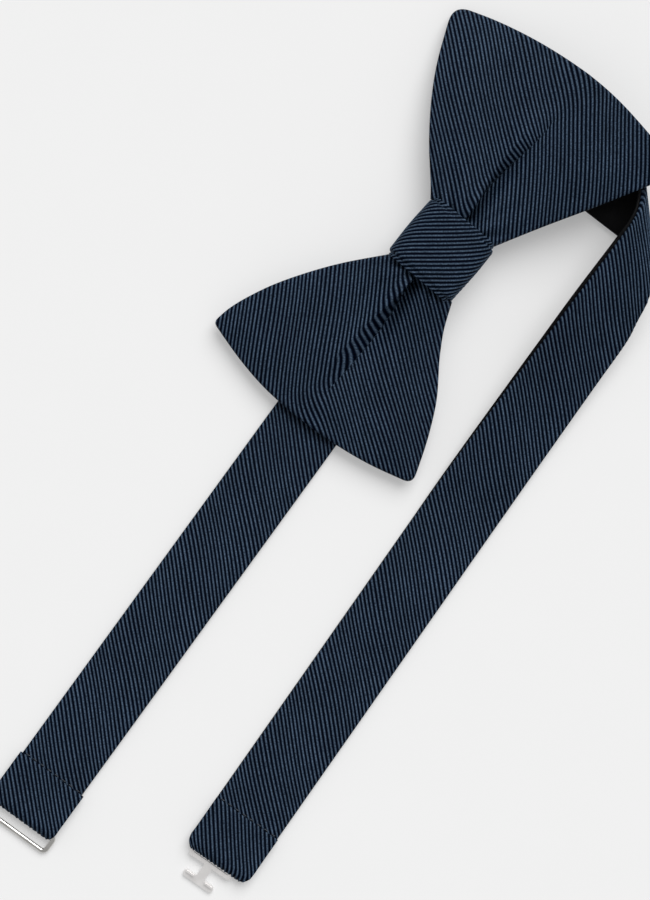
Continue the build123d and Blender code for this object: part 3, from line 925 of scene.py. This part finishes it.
right_wing = {
    "side": 1,
    "rib_angles": (51.5, 37.5),
    "pleat_end": (46.0, 1.0),
    "crest": ((9.0, 0.9), (21.6, 2.5), (35.8, 2.9), (49.0, 3.0)),
    "valley": ((9.0, 0.7), (23.3, 0.9), (31.8, 0.0), (40.0, -0.9), (49.0, -1.0)),
    "tooth_lean": -0.15,
    "pleat_reach": (24.0, 42.0),
    "middle": right_middle,
    "gathers": right_gathers,
    "outline": wing_outline(
        root=((8.8, -9.8), (8.6, 0.0), (8.8, 11.2)),
        top=((8.8, 11.2), (10.5, 12.5), (17.6, 19.0), (24.7, 24.8), (38.2, 33.5), (45.4, 36.9)),
        tip_top=(54.0, 40.6),
        end=((57.8, 28.6), (60.2, 17.0), (61.5, 4.3), (61.6, -8.0), (59.6, -23.4)),
        tip_bottom=(57.0, -36.2),
        bottom=((49.3, -32.0), (32.8, -23.0), (23.5, -17.7), (10.7, -10.8), (8.8, -9.8)),
        softness=(5.0, 3.0),
    ),
}
left_wing = {
    "side": -1,
    "rib_angles": (33.0, 55.0),
    "pleat_end": (-49.0, 1.0),
    "crest": ((-9.0, 1.7), (-17.9, 2.1), (-27.8, 2.4), (-41.0, 3.3), (-50.0, 3.8)),
    "valley": ((-9.0, 1.5), (-16.9, 0.1), (-26.7, -1.0), (-41.0, -1.2), (-50.0, -0.8)),
    "tooth_lean": 0.25,
    "pleat_reach": (24.0, 45.0),
    "middle": left_middle,
    "gathers": left_gathers,
    "outline": wing_outline(
        root=((-8.8, 9.3), (-8.6, 0.0), (-8.8, -11.3)),
        top=((-8.8, -11.3), (-16.6, -14.8), (-21.5, -17.8), (-32.6, -25.7), (-40.4, -29.7)),
        tip_top=(-53.6, -35.0),
        end=((-57.4, -20.6), (-59.6, -1.7), (-59.1, 15.5), (-57.7, 23.2)),
        tip_bottom=(-54.6, 35.0),
        bottom=((-49.8, 34.3), (-40.5, 31.0), (-27.1, 23.5), (-20.9, 19.2), (-10.6, 10.8), (-8.8, 9.3)),
        softness=(3.0, 1.6),
    ),
}
right_cloth = wing_piece("right_wing_cloth", right_wing)
left_cloth = wing_piece("left_wing_cloth", left_wing)
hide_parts("bow_face")
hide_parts("bow_backing", "bow_interlining")
for wing in (right_cloth, left_cloth):
    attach(wing, "bow")

# ---------------------------------------------------------------- CAD nodes that stay
for node, material in (
    ("ring", polished),
    ("t_hook", stamped),
    ("ring_stitches", thread),
    ("hook_stitches", thread),
    ("knot_stitches", thread),
    ("waist_thread", thread),
):
    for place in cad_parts[node].material_slots:
        place.material = material


# ---------------------------------------------------------------- floor, light, camera
FLOOR_HALF, FLOOR_Z = 3.0, -0.00002
TABLE_GLOW = 0.275  # the table is lit from below a little, so its shadows stay pale
SUN_HEADING, SUN_HEIGHT, SUN_ANGLE, SUN_STRENGTH = 12.0, 48.0, 48.0, 2.5
WORLD_STRENGTH = 0.47
floor_mesh = bpy.data.meshes.new("studio_floor")
floor_mesh.from_pydata(
    [(x * FLOOR_HALF, y * FLOOR_HALF, FLOOR_Z) for x, y in ((-1, -1), (1, -1), (1, 1), (-1, 1))],
    [], [(0, 1, 2, 3)],
)
floor = bpy.data.objects.new("studio_floor", floor_mesh)
bpy.context.scene.collection.objects.link(floor)
paper = Nodes("studio_paper")
paper.shader.inputs["Emission Color"].default_value = (1.0, 1.0, 1.0, 1.0)
paper_place = paper.add("ShaderNodeTexCoord").outputs["Object"]
paper_grain = paper.noise(paper_place, 40.0)
floor_mesh.materials.append(
    paper.set(Specular_IOR_Level=0.0, Emission_Strength=TABLE_GLOW).finish(
        paper.ramp(paper_grain, (0.0, (0.562, 0.562, 0.562)), (1.0, (0.572, 0.572, 0.572))),
        paper.math("MULTIPLY_ADD", paper_grain, 0.1, 0.85),
        paper.bump(paper_grain, 0.00002, 0.2),
    )
)

CAMERA_TURN = math.radians(-50.0)
CAMERA_CENTRE = (-61.75, -10.7)
VIEW_HEIGHT = 246.2
CAMERA_HEIGHT = 1025.0
SENSOR = 36.0
camera_data = bpy.data.cameras.new("camera")
camera_data.sensor_width = SENSOR
camera_data.lens = SENSOR * CAMERA_HEIGHT / VIEW_HEIGHT
camera = bpy.data.objects.new("camera", camera_data)
camera.location = [c * MM for c in (*CAMERA_CENTRE, CAMERA_HEIGHT)]
camera.rotation_euler = (0.0, 0.0, CAMERA_TURN)
bpy.context.scene.collection.objects.link(camera)
bpy.context.scene.camera = camera

sun_data = bpy.data.lights.new("softbox", "SUN")
sun_data.energy = SUN_STRENGTH
sun_data.angle = math.radians(SUN_ANGLE)
sun = bpy.data.objects.new("softbox", sun_data)
sun.rotation_euler = (math.radians(90 - SUN_HEIGHT), 0.0, math.radians(90 + SUN_HEADING))
bpy.context.scene.collection.objects.link(sun)

world = bpy.data.worlds.new("studio")
bpy.context.scene.world = world
world.use_nodes = True
background = world.node_tree.nodes["Background"]
background.inputs["Color"].default_value = (1.0, 1.0, 1.0, 1.0)
background.inputs["Strength"].default_value = WORLD_STRENGTH
bpy.context.scene.view_settings.view_transform = "Standard"
